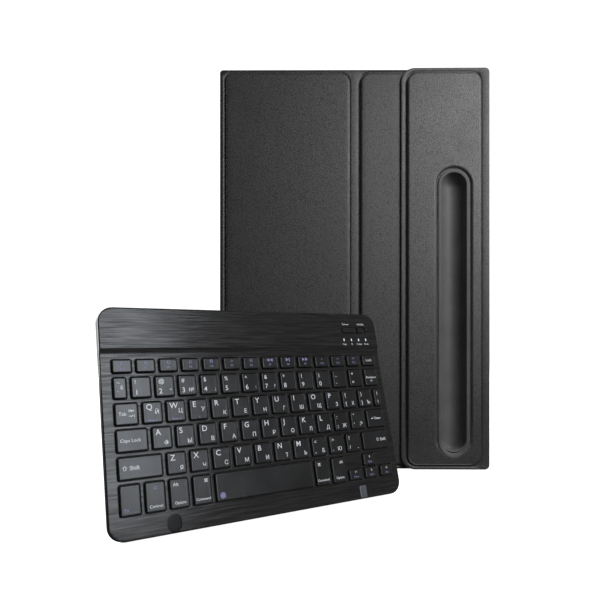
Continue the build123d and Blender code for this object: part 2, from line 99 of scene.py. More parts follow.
# --- leather: heights are measured out of the face, from the middle of the front cover
COVER_FACE, COVER_BACK = 1.5, -1.25
LINING_BACK = -1.5
PAD_RISE = 1.2
PAD_MARGIN = 2.8
CREASE_DEPTH, CREASE_PULL = 1.15, 1.3  # of the creases left of the middle pad and the flap's
LEFT_PAD = (-94.6, -3.2)
RIGHT_PAD = (4.9, 92.4)
FREE_EDGE_IN, FREE_CORNER = 0.4, 1.9  # the cover's free edge stands in from the node's
THINNING, THINNING_SPAN = 1.3, 3.7  # of the cover towards its free edge
PAD_RADIUS_OUTER, PAD_RADIUS_FOLD = 4.8, 7.4
CASE_CORNER, FOLD_CORNER = 3.3, 0.8
SIDE_ROUNDNESS = 0.6  # of the spine's and the rear cover's edges
FLAP_BACK, FLAP_FACE = 2.7, 4.3
FLAP_PAD = (38.9, 92.8)
FLAP_RADIUS, FLAP_PAD_RADII = 10.4, (7.8, 6.2)
FLAP_EDGE_OUT = 0.4  # the flap's free edge stands out from the node's
FLAP_WRAP_X, FLAP_WRAP_BACK = 93.0, 1.75
FOOT_SPAN, FOOT_STEP, FOOT_THINNING = 40, 4, 0.45  # the flap's board thins towards its foot
CROWN = 0.03  # how far the middle of a pad is lifted
HOLE_LIP = 0.6  # how far the face's ring stands off a hole

# --- pen trough
RIM_FACE = 5.1
RIM_HALF = 11.6
RIM_ENDS = (8.4, 220.6)
GROOVE_RADIUS = 9.3
GROOVE_AXIS = 6.4  # its height
GROOVE_ENDS = (13.9, 218.0)
END_SQUARE = 0.85  # how square the groove's lower end is: 0 is a ball's end, 1 a square one
END_POWER = 0.25  # under 1, the corners of the groove's lower end move outwards more
MOAT_HALF = 12.6
MOAT_FADE = (11, 13)  # where the moat begins to run out above the groove's end, and over what length
SHELL_RADIUS = 10.3
SHELL_HALF = 10.45  # half the width of the hole for the shell
SHELL_PAST = 1.15  # how far that hole reaches past the groove's ends


def smoothstep(t):
    t = min(1.0, max(0.0, t))
    return t * t * (3 - 2 * t)


def spaced(low, high, count):
    """Evenly spaced places from low to high, with count steps."""
    return [low + (high - low) * i / count for i in range(count + 1)]


# ======================================================================= outlines and meshes
def rounded(
    left, right, bottom, top, left_radius, right_radius,
    stops=(), steps=8, left_pull=1.0, right_pull=1.0,
):
    """An outline function: a rectangle with rounded corners, moved inwards by its inset.

    stops are places across where the lower and upper edges get a point. left_pull is the share
    of an outward move that the left edge follows, and right_pull that of an inward move for
    the right edge.
    """

    def outline(inset=0.0):
        a = left + inset * (left_pull if inset < 0 else 1.0)
        b = right - inset * (right_pull if inset > 0 else 1.0)
        c, d = bottom + inset, top - inset
        r_left, r_right = (max(r - inset, 0.05) for r in (left_radius, right_radius))
        points = []
        for x, z, r, start in (
            (a + r_left, c + r_left, r_left, 180),
            (b - r_right, c + r_right, r_right, 270),
            (b - r_right, d - r_right, r_right, 0),
            (a + r_left, d - r_left, r_left, 90),
        ):
            for i in range(steps + 1):
                turn = radians(start + 90 * i / steps)
                points.append((x + r * cos(turn), z + r * sin(turn)))
            if start == 180:
                points += [(stop, c) for stop in stops]
            if start == 0:
                points += [(stop, d) for stop in reversed(stops)]
        return points

    return outline


def stadium(centre, half_width, bottom, top, steps=16):
    """An outline function: an upright slot with round ends, moved inwards by its inset."""

    def outline(inset=0.0):
        r = half_width - inset
        points = []
        for z, start in ((top - half_width, 0), (bottom + half_width, 180)):
            for i in range(steps + 1):
                turn = radians(start + 180 * i / steps)
                points.append((centre + r * cos(turn), z + r * sin(turn)))
        return points

    return outline


def rings(outline, profile):
    """The outline at each (inset, height) of the profile. A height may depend on the point."""
    made = []
    for inset, height in profile:
        level = height if callable(height) else lambda u, v, h=height: h
        made.append([(u, v, level(u, v)) for u, v in outline(inset)])
    return made


def lay(bm, ring_list):
    """Makes the rings and the faces between them, and gives their vertices."""
    made = [[bm.verts.new(p) for p in ring] for ring in ring_list]
    for a, b in zip(made, made[1:]):
        for i in range(len(a)):
            bm.faces.new((a[i - 1], a[i], b[i], b[i - 1]))
    return made


def fill(bm, *loops):
    """Fills the flat area inside the first loop and outside the others."""
    edges = []
    for loop in loops:
        for i in range(len(loop)):
            pair = (loop[i - 1], loop[i])
            edges.append(bm.edges.get(pair) or bm.edges.new(pair))
    bmesh.ops.triangle_fill(bm, edges=edges, use_beauty=True)


def cut(bm, axis, places):
    """Adds a line of points where the mesh crosses each place along the axis."""
    normal = Vector((axis == "u", axis == "v", axis == "h"))
    for place in places:
        geometry = bm.verts[:] + bm.edges[:] + bm.faces[:]
        bmesh.ops.bisect_plane(bm, geom=geometry, plane_co=normal * place, plane_no=normal)


def piece(name, bm, place, *finishes):
    """A finished object from a mesh made in (across, up, height), put in the frame by place."""
    bmesh.ops.remove_doubles(bm, verts=bm.verts, dist=0.0005)
    for vertex in bm.verts:
        vertex.co = place(*vertex.co) * MM
    bmesh.ops.recalc_face_normals(bm, faces=bm.faces)
    mesh = bpy.data.meshes.new(name)
    bm.to_mesh(mesh)
    bm.free()
    mesh.shade_smooth()
    for finish in finishes:
        mesh.materials.append(finish)
    made = bpy.data.objects.new(name, mesh)
    bpy.context.scene.collection.objects.link(made)
    return made


def front(u, v, h):
    return Vector((u, -h, v))


def side(u, v, h):
    return Vector((h, u, v))


def panel(edge, pads=(), holes=(), pits=()):
    """A closed panel's mesh. edge runs from the back round to the face.

    Each pad is (its rings from the face up, the holes through it). A hole's rings run down to
    the back, and a pit's rings run down to its own floor.
    """
    bm = bmesh.new()
    border = lay(bm, edge)
    back, face = [border[0]], [border[-1]]
    for pad, pad_holes in pads:
        raised = lay(bm, pad)
        face.append(raised[0])
        top = [raised[-1]]
        for hole in pad_holes:
            walls = lay(bm, hole)
            top.append(walls[0])
            back.append(walls[-1])
        fill(bm, *top)
    for hole in holes:
        walls = lay(bm, hole)
        face.append(walls[0])
        back.append(walls[-1])
    for pit in pits:
        walls = lay(bm, pit)
        face.append(walls[0])
        fill(bm, walls[-1])
    fill(bm, *face)
    fill(bm, *back)
    return bm


def pad_profile(face, spread=1.1, crown=CROWN):
    """A board under leather: the leather dips beside it, then climbs its soft edge.

    spread widens the climb, and a crown lifts the middle a little.
    """
    climb = (
        (0.12, -0.3), (0.28, 0.0), (0.44, 0.36), (0.62, 0.66), (0.9, 0.87), (1.3, 0.97), (1.9, 1.0)
    )
    profile = [(-1.5, face), (-1.35, face - 0.05), (-1.2, face - 0.12), (-0.95, face - 0.27)]
    profile += [(-0.5, face - 0.44), (0.0, face - 0.42)]
    profile += [(inset * spread, face + share * PAD_RISE) for inset, share in climb]
    if crown:
        profile += [(5.0, face + PAD_RISE + crown), (5.6, face + PAD_RISE + crown)]
    else:
        profile.append((2.1, face + PAD_RISE))
    return profile


def through(outline, top, bottom):
    """The rings of a hole from the face at top down to the back at bottom."""
    return rings(outline, [(-HOLE_LIP, top), (0, top), (0, bottom), (-HOLE_LIP, bottom)])


def edge_profile(back, face, roundness=0.55):
    """A leather-covered edge, from the back round to the face."""
    low, high = back + roundness, face - roundness
    profile = [(roundness + 0.8, back)]
    for i in range(7):
        turn = radians(90 * i / 6)
        profile.append((roundness * (1 - sin(turn)), low - roundness * cos(turn)))
    for i in range(7):
        turn = radians(90 * i / 6)
        profile.append((roundness * (1 - cos(turn)), high + roundness * sin(turn)))
    return profile + [(roundness + 0.8, face)]


def shaped(profile, change, above=0.0, below=9.0):
    """The profile with its heights between above and below changed to change(u, v, height)."""

    def moved(height):
        def level(u, v):
            h = height(u, v) if callable(height) else height
            return change(u, v, h) if above < h < below else h

        return level

    return [(inset, moved(height)) for inset, height in profile]


def deep_left(profile, face, left):
    """The pad's profile with its crease square and deep along the pad's left side."""

    def deepen(u, v, h):
        share = 1 - smoothstep((u - left - 1.5) / 6)
        return h - share * (CREASE_DEPTH - (face - h))

    return shaped(profile, deepen, below=face - 0.08)


def strip(name, path, thickness, bottom, top, finish):
    """An upright leather strip along a path of (X, Y) points."""
    bm = bmesh.new()
    sides = ([], [])
    for i, (x, y) in enumerate(path):
        a, b = path[max(i - 1, 0)], path[min(i + 1, len(path) - 1)]
        along = Vector((b[0] - a[0], b[1] - a[1], 0)).normalized()
        across = Vector((along.y, -along.x, 0)) * thickness / 2
        sides[0].append(Vector((x, y, 0)) + across)
        sides[1].append(Vector((x, y, 0)) - across)
    section = sides[0] + sides[1][::-1]
    levels = [[bm.verts.new((p.x, p.y, z)) for p in section] for z in (bottom, top)]
    count, half = len(section), len(path)
    for i in range(count):
        bm.faces.new((levels[0][i - 1], levels[0][i], levels[1][i], levels[1][i - 1]))
    for level in levels:
        for i in range(half - 1):
            bm.faces.new((level[i], level[i + 1], level[count - 2 - i], level[count - 1 - i]))
    made = piece(name, bm, lambda x, y, z: Vector((x, y, z)), finish)
    sharp = made.modifiers.new("edges", "EDGE_SPLIT")
    sharp.split_angle = radians(60)
    return made


def arc_path(start, middle, end, count=14):
    """Points on a smooth curve from start to end that leans towards middle."""
    points = []
    for i in range(count + 1):
        t = i / count
        weights = ((1 - t) ** 2, 2 * t * (1 - t), t * t)
        points.append(
            tuple(sum(w * p[k] for w, p in zip(weights, (start, middle, end))) for k in (0, 1))
        )
    return points


# ================================================================================= materials
class Finish:
    """A material being built, from nodes."""

    def __init__(self, name, colour, roughness, **inputs):
        self.material = bpy.data.materials.new(name)
        self.material.use_nodes = True
        self.tree = self.material.node_tree
        self.surface = self.tree.nodes["Principled BSDF"]
        self.where = self.tree.nodes.new("ShaderNodeTexCoord").outputs["Object"]
        self.set(self.surface, {"Base Color": (*colour, 1), "Roughness": roughness})
        self.set(self.surface, {key.replace("_", " "): v for key, v in inputs.items()})

    def set(self, node, sockets):
        for key, value in sockets.items():
            socket = node.inputs[key]
            if isinstance(value, bpy.types.NodeSocket):
                self.tree.links.new(value, socket)
            else:
                socket.default_value = value

    def node(self, kind, sockets, **settings):
        made = self.tree.nodes.new(kind)
        for key, value in settings.items():
            setattr(made, key, value)
        self.set(made, sockets)
        return made

    def stretched(self, scale, turn=0.0):
        """The object's coordinates turned about Z and scaled unevenly."""
        turned = self.node("ShaderNodeMapping", {"Vector": self.where, "Rotation": (0, 0, -turn)})
        sized = {"Vector": turned.outputs["Vector"], "Scale": scale}
        return self.node("ShaderNodeMapping", sized).outputs["Vector"]

    def noise(self, scale, detail=2.0, where=None, rough=0.5):
        sockets = {
            "Vector": where or self.where,
            "Scale": scale,
            "Detail": detail,
            "Roughness": rough,
        }
        return self.node("ShaderNodeTexNoise", sockets).outputs["Fac"]

    def cells(self, scale, where):
        """The distance to the nearest border between cells."""
        sockets = {"Vector": where, "Scale": scale}
        made = self.node("ShaderNodeTexVoronoi", sockets, feature="DISTANCE_TO_EDGE")
        return made.outputs["Distance"]

    def spread(self, value, low, high, to_low=0.0, to_high=1.0):
        """A value between low and high, stretched to another range."""
        sockets = {
            "Value": value,
            "From Min": low,
            "From Max": high,
            "To Min": to_low,
            "To Max": to_high,
        }
        return self.node("ShaderNodeMapRange", sockets).outputs["Result"]

    def maths(self, operation, a, b):
        return self.node("ShaderNodeMath", {0: a, 1: b}, operation=operation).outputs["Value"]

    def colour(self, value, *stops):
        """A colour ramp: each stop is (place, colour)."""
        made = self.node("ShaderNodeValToRGB", {"Fac": value})
        ramp = made.color_ramp
        ramp.elements[0].position, ramp.elements[1].position = stops[0][0], stops[-1][0]
        for place, _ in stops[1:-1]:
            ramp.elements.new(place)
        for element, (_, shade) in zip(ramp.elements, stops):
            element.color = (*shade, 1)
        return made.outputs["Color"]

    def bump(self, height, depth, strength=1.0):
        sockets = {"Height": height, "Distance": depth * MM, "Strength": strength}
        made = self.node("ShaderNodeBump", sockets)
        self.set(self.surface, {"Normal": made.outputs["Normal"]})


def grey(value, blue=0.0):
    return (value, value * (1 + blue / 2), value * (1 + blue))


def leather():
    """Fine pebbled grain with a satin coat, with painted shade in its pores on top of the grain's own
    tone.
    """
    made = Finish("leather", grey(0.02), 0.55, IOR=2.0)
    drift = made.noise(500, 2)
    warped = made.node(
        "ShaderNodeVectorMath",
        {0: made.where, 1: made.maths("MULTIPLY", drift, 0.0012)},
        operation="ADD",
    )
    pebbles = made.spread(made.cells(820, warped.outputs["Vector"]), 0.0, 0.22)
    fine = made.noise(1900, 2, rough=0.6)
    wrinkles = made.noise(160, 3)
    broad = made.noise(28, 3)
    grain = made.maths(
        "ADD", made.maths("MULTIPLY", pebbles, 0.45), made.maths("MULTIPLY", fine, 0.55)
    )
    height = made.maths("ADD", grain, made.maths("MULTIPLY", wrinkles, 0.8))
    made.bump(height, 0.085)
    # painted shade: the grain's low pores are painted darker and given less specular, on top of the
    # grain's own tone
    shade = made.colour(grain, (0.25, grey(0.016)), (0.5, grey(0.02)), (0.75, grey(0.025)))
    gloss = made.spread(grain, 0.3, 0.7, 0.42, 0.72)
    made.set(made.surface, {"Base Color": shade, "Specular IOR Level": gloss})
    made.set(made.surface, {"Roughness": made.spread(broad, 0.3, 0.7, 0.52, 0.6)})
    return made.material


def lining():
    """Short microfibre nap, brushed unevenly."""
    made = Finish("microfibre", grey(0.05), 0.9, Specular_IOR_Level=0.2, Sheen_Weight=0.5)
    nap = made.noise(1900, 4, rough=0.7)
    brushed = made.noise(22, 4, made.stretched((1, 1, 0.45)))
    shade = made.colour(brushed, (0.3, grey(0.036)), (0.7, grey(0.062)))
    made.set(made.surface, {"Base Color": shade, "Sheen Roughness": 0.4})
    made.bump(nap, 0.12, 0.7)
    return made.material


def moulded(name, tone, roughness, grain, depth, blue=0.0, level=0.5):
    """Moulded plastic or rubber with a fine spark-eroded texture, unevenly worn."""
    wear = 0.15
    made = Finish(name, grey(tone, blue), roughness, Specular_IOR_Level=level)
    texture = made.noise(grain, 3, rough=0.6)
    handled = made.noise(45, 3)
    shade = made.colour(
        handled, (0.3, grey(tone * (1 - wear), blue)), (0.7, grey(tone * (1 + wear), blue))
    )
    finish = made.spread(handled, 0.3, 0.7, roughness - 0.04, roughness + 0.05)
    made.set(made.surface, {"Base Color": shade, "Roughness": finish})
    made.bump(texture, depth)
    return made.material


def brushed_black(turn):
    """Black anodised metal, brushed along the keyboard."""
    made = Finish("brushed_black", grey(0.1), 0.2, Metallic=0.1)
    lines = made.stretched((55, 2100, 2100), turn)
    coarse = made.stretched((24, 1150, 1150), turn)
    hairlines = made.noise(1.0, 3, lines, 0.6)
    streaks = made.noise(1.0, 4, coarse, 0.65)
    both = made.maths(
        "ADD", made.maths("MULTIPLY", hairlines, 0.7), made.maths("MULTIPLY", streaks, 0.3)
    )
    shade = made.colour(
        both,
        (0.36, grey(0.016, -0.14)),
        (0.50, grey(0.025, -0.14)),
        (0.66, grey(0.041, -0.14)),
    )
    dull = made.spread(both, 0.35, 0.65, 0.17, 0.23)
    made.set(made.surface, {"Base Color": shade, "Roughness": dull})
    made.set(made.surface, {"Specular IOR Level": made.spread(both, 0.37, 0.63, 0.05, 0.28)})
    made.bump(both, 0.012, 0.6)
    return made.material


def metal(name, tone, roughness):
    made = Finish(name, grey(tone), roughness, Metallic=1.0)
    made.bump(made.noise(900, 2), 0.01, 0.5)
    return made.material


def ink(name, colour):
    """Printed legend ink, a little uneven at its edges."""
    made = Finish(name, colour, 0.55)
    patchy = made.noise(3500, 2)
    dim = tuple(0.8 * c for c in colour)
    made.set(made.surface, {"Base Color": made.colour(patchy, (0.3, dim), (0.6, colour))})
    return made.material


def lens(name, colour, painted_glow):
    """A clear window with a printed white back that glows a little: painted light."""
    # the emission is painted light on the printed back
    made = Finish(name, colour, 0.2, Coat_Weight=0.6, Emission_Strength=painted_glow)
    made.set(made.surface, {"Emission Color": (*colour, 1)})
    made.bump(made.noise(700, 1), 0.01, 0.3)
    return made.material


# =================================================================== the keyboard's own plane
along = Vector(joints["power_switch_slide"]["axis"]).normalized()
out = -Vector(joints["connect_button_press"]["axis"]).normalized()
up_slope = out.cross(along)
turn_of_board = atan2(along.y, along.x)
basis = Matrix((along, up_slope, out))
DECK = 1.2  # thickness of the keyboard's top case
DECK_CORNER = 7.6
HEAD_RISE = 1.2
HEAD_STEP, HEAD_CURVE = (88.4, 92.7), 2.2  # the slope up to the head bar, steepest at its top
shell_points = [basis @ v.co / MM for v in frame["nodes"]["keyboard_bottom_case"].data.vertices]
board_origin = Vector(
    (
        min(p.x for p in shell_points),
        min(p.y for p in shell_points),
        max(p.z for p in shell_points) + DECK,
    )
)
board_width = max(p.x for p in shell_points) - board_origin.x
board_depth = max(p.y for p in shell_points) - board_origin.y


def board(u, v, h):
    """A point of the keyboard: along it, up its slope and out of its face."""
    return basis.transposed() @ (Vector((u, v, h)) + board_origin)


def rectangles(node):
    """The outlines of a node's separate keys, from left to right: (left, right, low, high)."""
    mesh = frame["nodes"][node].data
    points = [basis @ v.co / MM - board_origin for v in mesh.vertices]
    spans = sorted(
        (min(points[i].x for i in p.vertices), max(points[i].x for i in p.vertices))
        for p in mesh.polygons
    )
    merged = [list(spans[0])]
    for low, high in spans[1:]:
        if low > merged[-1][1] + 0.1:
            merged.append([low, high])
        else:
            merged[-1][1] = max(merged[-1][1], high)
    low, high = min(p.y for p in points), max(p.y for p in points)
    return [(a, b, low, high) for a, b in merged]


# ============================================================================== leather parts
leather_finish = leather()
lining_finish = lining()
trough_hole = stadium(
    trough_centre, SHELL_HALF, GROOVE_ENDS[0] - SHELL_PAST, GROOVE_ENDS[1] + SHELL_PAST
)


def front_cover():
    """The front cover's leather, one sheet over both boards, and the lining behind it."""
    span = (left_edge + FREE_EDGE_IN, cover_right, 0.0, case_top)
    pad_ends = (PAD_MARGIN, case_top - PAD_MARGIN)
    left_pad = rounded(*LEFT_PAD, *pad_ends, PAD_RADIUS_OUTER, PAD_RADIUS_FOLD, right_pull=0.6)
    right_pad = rounded(
        *RIGHT_PAD, *pad_ends, PAD_RADIUS_FOLD, PAD_RADIUS_OUTER,
        left_pull=CREASE_PULL, right_pull=0.6,
    )
    pad_hole = through(trough_hole, COVER_FACE + PAD_RISE + CROWN, COVER_BACK)
    right_profile = deep_left(pad_profile(COVER_FACE), COVER_FACE, RIGHT_PAD[0])

    def thin_edge(u, v, h):
        """The cover gets thinner towards its free edge."""
        share = min(1.0, max(0.0, (LEFT_PAD[0] - 0.3 - u) / THINNING_SPAN))
        return h - THINNING * share

    bm = panel(
        rings(
            rounded(*span, FREE_CORNER, CASE_CORNER),
            shaped(edge_profile(COVER_BACK, COVER_FACE), thin_edge),
        ),
        pads=[
            (rings(left_pad, shaped(pad_profile(COVER_FACE), thin_edge, below=COVER_FACE)), []),
            (rings(right_pad, right_profile), [pad_hole]),
        ],
    )
    fold = (fold_x - 0.85, fold_x + 1.3)
    places = spaced(*fold, 14)
    cut(bm, "u", places)
    skin = piece("cover_leather", bm, front, leather_finish)
    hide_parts("cover_skin_left", "cover_skin_right")

    inset, lining_face = 1.3, COVER_BACK + 0.1
    lining_edge = rounded(
        left_edge + inset, cover_right - inset, inset, case_top - inset, CASE_CORNER, CASE_CORNER
    )
    bm = panel(
        rings(
            lining_edge,
            [(1.2, lining_face), (0, lining_face), (0, LINING_BACK + 0.18),
             (0.06, LINING_BACK + 0.05), (0.25, LINING_BACK), (1.2, LINING_BACK)],
        ),
        holes=[through(trough_hole, lining_face, LINING_BACK)],
    )
    cut(bm, "u", places)
    inside = piece("cover_lining", bm, front, lining_finish)
    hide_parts("cover_lining_left", "cover_lining_right")
    for sheet_piece in (skin, inside):
        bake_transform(sheet_piece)


def pen_flap():
    """The second leather layer, with a raised board round the trough and a moat in it."""
    step = MOAT_HALF - RIM_HALF
    moat = stadium(trough_centre, MOAT_HALF, RIM_ENDS[0] - step, RIM_ENDS[1] + step)
    top = FLAP_FACE + PAD_RISE
    floor = FLAP_FACE - 0.12

    def shallow_end(u, v, h):
        """The moat runs out round the trough's lower end."""
        return h + (top - h) * smoothstep((GROOVE_ENDS[0] + MOAT_FADE[0] - v) / MOAT_FADE[1])

    moat_profile = [
        (-2.0, top), (-1.8, top), (-1.4, top - 0.05), (-1.0, top - 0.2), (-0.6, top - 0.48),
        (-0.2, top - 0.85), (0.2, floor + 0.12), (0.5, floor), (0.8, floor),
    ]
    moat_rings = rings(moat, shaped(moat_profile, shallow_end))
    shell_profile = [(-0.3, floor), (0, floor), (0, FLAP_BACK), (-0.3, FLAP_BACK)]

    def back_of(u, v):
        return FLAP_WRAP_BACK if u > FLAP_WRAP_X - 0.1 else FLAP_BACK

    outline = rounded(
        flap_left - FLAP_EDGE_OUT, flap_right, 0.0, case_top, FLAP_RADIUS, CASE_CORNER,
        stops=(FLAP_WRAP_X - 0.2, FLAP_WRAP_X),
    )
    roundness = 0.55
    wrap = flap_right - FLAP_WRAP_X
    edge = [(wrap, FLAP_BACK), (wrap - 0.1, back_of), (0.3, back_of)]
    edge += [(0.08, lambda u, v: back_of(u, v) + 0.12), (0.0, lambda u, v: back_of(u, v) + 0.35)]
    for i in range(7):
        turn = radians(90 * i / 6)
        edge.append((roundness * (1 - cos(turn)), FLAP_FACE - roundness * (1 - sin(turn))))
    edge.append((roundness + 0.6, FLAP_FACE))
    pad = rounded(
        *FLAP_PAD, PAD_MARGIN, case_top - PAD_MARGIN - 0.6, *FLAP_PAD_RADII,
        left_pull=CREASE_PULL, right_pull=0.6,
    )

    def thick_edge(u, v, h):
        """The flap climbs towards the edge that wraps round the spine."""
        past = u - FLAP_PAD[1]
        climb = 0.5 * smoothstep((past + 1.8) / 2) + 0.2 * smoothstep(past / 7)
        return h + climb * min(1.0, (top - h) / PAD_RISE)

    bm = bmesh.new()
    border = lay(bm, rings(outline, shaped(edge, thick_edge, above=FLAP_FACE - 0.5)))
    profile = deep_left(pad_profile(FLAP_FACE, spread=1.0, crown=0), FLAP_FACE, FLAP_PAD[0])
    raised = lay(bm, rings(pad, shaped(profile, thick_edge)))
    walls = lay(bm, moat_rings)
    hole = lay(bm, rings(trough_hole, shell_profile))
    fill(bm, border[-1], raised[0])
    fill(bm, raised[-1], walls[0])
    fill(bm, walls[-1], hole[0])
    fill(bm, border[0], hole[-1])
    cut(bm, "v", [PAD_MARGIN + v for v in range(0, FOOT_SPAN + 1, FOOT_STEP)])
    base = FLAP_FACE - 0.1
    for vertex in bm.verts:
        _, v, h = vertex.co
        if v > PAD_MARGIN - 1.6 and h > FLAP_BACK + 0.4:
            low = 1 - smoothstep((v - PAD_MARGIN) / FOOT_SPAN)
            vertex.co.z = base + (h - base) * (1 - FOOT_THINNING * low)
    made = piece("pen_flap_leather", bm, front, leather_finish)
    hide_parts("pen_flap_skin")
    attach(made, "front_cover")


def pen_trough(finish):
    """The pen's groove with its rim. The lower end of the rim slopes down into the groove."""
    low, high = GROOVE_ENDS[0] + GROOVE_RADIUS, GROOVE_ENDS[1] - GROOVE_RADIUS
    steps = 24
    slope = 1.5  # how far the lower end of the rim falls

    def ring(half_width, drop_low, drop_high, height, tilt=0.0, power=1.0):
        """A slot's outline with its ends moved outwards, sunk at its lower end by tilt.

        A power under 1 moves the corners of the ends out more, which squares them.
        """
        points = []
        for z, start, stretch in ((high, 0, drop_high), (low, 180, -drop_low)):
            for i in range(steps + 1):
                turn = radians(start + 180 * i / steps)
                end = abs(sin(turn))
                points.append(
                    (
                        trough_centre + half_width * cos(turn),
                        z + half_width * sin(turn) + stretch * end**power,
                        height - tilt * smoothstep(end if start else 0.0),
                    )
                )
        return points

    rim_low = low - RIM_ENDS[0] - RIM_HALF
    rim_high = RIM_ENDS[1] - high - RIM_HALF
    opening = sqrt(GROOVE_RADIUS**2 - (GROOVE_AXIS - RIM_FACE) ** 2)
    made_rings = [
        ring(SHELL_HALF - 0.3, 0, 0, FLAP_FACE - 0.1),
        ring(RIM_HALF - 0.1, rim_low, rim_high, FLAP_FACE - 0.1),
        ring(RIM_HALF, rim_low, rim_high, FLAP_FACE),
        ring(RIM_HALF, rim_low, rim_high, RIM_FACE - 0.45),
        ring(RIM_HALF - 0.08, rim_low, rim_high, RIM_FACE - 0.2),
        ring(RIM_HALF - 0.25, rim_low, rim_high, RIM_FACE - 0.05),
        ring(RIM_HALF - 0.5, rim_low, rim_high, RIM_FACE),
        ring(RIM_HALF - 1.1, rim_low * 0.75, rim_high, RIM_FACE, slope * 0.12),
        ring(opening + 0.65, rim_low * 0.32, rim_high * 0.3, RIM_FACE, slope * 0.62),
        ring(opening + 0.3, rim_low * 0.12, 0, RIM_FACE - 0.03, slope * 0.86),
        ring(opening + 0.1, rim_low * 0.04, 0, RIM_FACE - 0.14, slope * 0.95),
    ]
    sunk = 26
    first = 0.2  # where the groove's round section begins, in radians below its widest point
    for i in range(sunk):
        angle = first + (pi / 2 - first) * i / sunk
        width = GROOVE_RADIUS * cos(angle)
        depth = GROOVE_AXIS - GROOVE_RADIUS * sin(angle)
        extra = slope * (1 - i / sunk) ** 3
        stretch = END_SQUARE * (GROOVE_RADIUS - width)
        made_rings.append(ring(width, stretch, 0, depth, extra, END_POWER))
    bm = bmesh.new()
    inner = lay(bm, made_rings)
    fill(bm, inner[-1])
    outside = []
    for k in range(14):
        angle = radians(12 + 78 * k / 14)
        width = SHELL_RADIUS * cos(angle)
        stretch = END_SQUARE * (SHELL_RADIUS - width)
        depth = GROOVE_AXIS - SHELL_RADIUS * sin(angle)
        outside.append(ring(width, stretch, 0, depth, power=END_POWER))
    outer = lay(bm, outside)
    fill(bm, outer[-1])
    for i in range(len(outer[0])):
        bm.faces.new((outer[0][i - 1], outer[0][i], inner[0][i], inner[0][i - 1]))
    made = piece("pen_trough_shell", bm, front, finish)
    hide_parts("pen_trough")
    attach(made, "front_cover")


def side_pad(low, high):
    margin, radius = 3.2, PAD_RADIUS_OUTER
    ends = (PAD_MARGIN, case_top - PAD_MARGIN)
    return rounded(low + margin, high - margin, *ends, radius, radius)


def rear_cover():
    """The spine and the rear cover, each a leather-covered board, with the folds between."""
    bm = panel(
        rings(
            rounded(spine_start, spine_end, 0.0, case_top, FOLD_CORNER, FOLD_CORNER),
            edge_profile(side_inner, side_outer, SIDE_ROUNDNESS),
        )
    )
    spine = piece("spine_leather", bm, side, leather_finish)
    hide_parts("spine_skin")
    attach(spine, "spine")

    margin, radius = 2.0, 7.0
    camera_hole = rounded(
        bezel_low[1] + margin,
        bezel_high[1] - margin,
        bezel_low[2] + margin,
        bezel_high[2] - margin,
        radius,
        radius,
    )
    camera_rings = through(camera_hole, side_outer + PAD_RISE + CROWN, side_inner)
    bm = panel(
        rings(
            rounded(rear_start, rear_end, 0.0, case_top, FOLD_CORNER, CASE_CORNER),
            edge_profile(side_inner, side_outer, SIDE_ROUNDNESS),
        ),
        pads=[
            (rings(side_pad(rear_start, rear_fold_y), pad_profile(side_outer)), []),
            (rings(side_pad(rear_fold_y, rear_end), pad_profile(side_outer)), [camera_rings]),
        ],
    )
    fold = (rear_fold_y - 1.1, rear_fold_y + 1.1)
    cut(bm, "u", spaced(*fold, 12))
    rear = piece("rear_leather", bm, side, leather_finish)
    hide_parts("rear_lower_skin", "rear_upper_skin")
    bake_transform(rear)

    # the hinge leather between the front cover, the spine and the rear cover
    inset, overlap = 0.7, 0.7  # from the case's ends, and onto each board
    hinge_ends = (inset, case_top - inset)
    outer_x, inner_x = side_outer - 0.35, side_inner + 0.3
    corner = strip(
        "corner_hinge",
        arc_path((cover_right - 0.3, -1.15), (outer_x, -1.4), (outer_x, spine_start + 0.8)),
        0.5,
        *hinge_ends,
        leather_finish,
    )
    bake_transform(corner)
    corner_lining = strip(
        "corner_lining",
        arc_path((cover_right - 0.4, 1.2), (inner_x, 1.0), (inner_x, spine_start + 0.6)),
        0.3,
        *hinge_ends,
        lining_finish,
    )
    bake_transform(corner_lining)
    for name, x, finish in (
        ("rear_hinge", outer_x, leather_finish),
        ("rear_hinge_lining", inner_x, lining_finish),
    ):
        path = [(x, y) for y in spaced(spine_end - overlap, rear_start + overlap, 16)]
        hinge = strip(name, path, 0.4, *hinge_ends, finish)
        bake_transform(hinge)


# ================================================================================== keyboard
KEY_HOLE = 0.35  # play round a key
KEY_TOP, KEY_FOOT = 1.4, -0.7
KEY_CORNER = 0.9
SLOT = (147.4, 167.0, 101.35, 105.25)  # the switch slot
LED_PITCH, LED_FIRST, LED_UP = 5.7, 148.4, 97.0
LED_HALF = (0.35, 0.85)
FINGER_PADS = {  # left, right and top edges, and the corners' radius
    "finger_pad_left": (27.6, 34.8, 9.2, 3.4),
    "finger_pad_right": (143.9, 148.6, 7.6, 0.8),
}


def key_nodes():
    bodies = frame["record"]["behaviour"]["bodies"]
    return {b: nodes[0] for b, nodes in bodies.items() if b.startswith("key_")}


def slits():
    """The outlines of the four indicators' slits."""
    low, high = LED_UP - LED_HALF[1], LED_UP + LED_HALF[1]
    places = [LED_FIRST + LED_PITCH * i for i in range(4)]
    return [
        rounded(x - LED_HALF[0], x + LED_HALF[0], low, high, 0.2, 0.2, steps=3) for x in places
    ]


